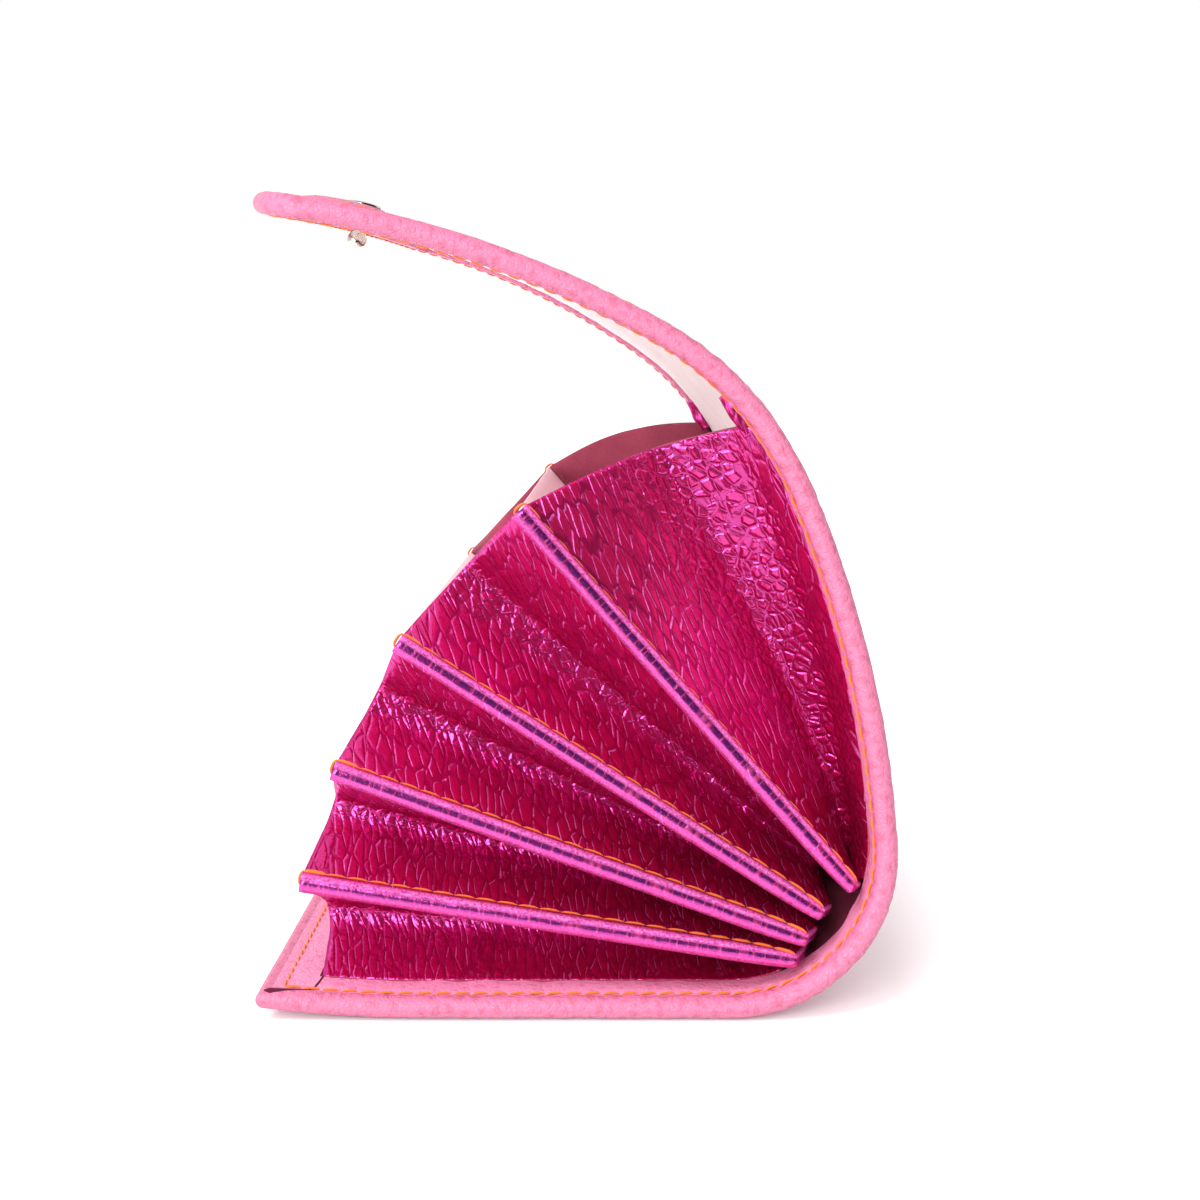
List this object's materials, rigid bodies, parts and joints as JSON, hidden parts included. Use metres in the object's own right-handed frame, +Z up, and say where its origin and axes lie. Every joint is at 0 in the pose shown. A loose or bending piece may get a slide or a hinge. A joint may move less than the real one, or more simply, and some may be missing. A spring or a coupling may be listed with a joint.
{
  "type": "accordion wallet",
  "caption": "Open accordion wallet lying on its front panel: leather cover with a curved flap, fanned dividers between pleated side gussets, and a press stud.",
  "frame": {"origin": "on the table, below the middle of the wallet's box as it lies open", "axes": "+Z up from the table, +X from the opening towards the spine, +Y across the wallet's width"},
  "size_m": [0.128, 0.19, 0.1621],
  "materials": {
    "cover_leather": "pink pebble-grained leather, semi-matt",
    "divider_leather": "smooth pale pink leather",
    "gusset_leather": "magenta pebble-grained leather with a metallic foil finish",
    "lining_suede": "pale pink suede",
    "snap_metal": "polished nickel plate"
  },
  "bodies": {
    "root": {"cover": "cover_leather", "flap_lining": "lining_suede", "divider_1": "divider_leather", "divider_2": "divider_leather", "divider_3": "divider_leather", "divider_4": "divider_leather", "gusset_near": "gusset_leather", "gusset_far": "gusset_leather", "snap_cap": "snap_metal", "snap_stud": "snap_metal", "snap_socket": "snap_metal"}
  },
  "joints": []
}
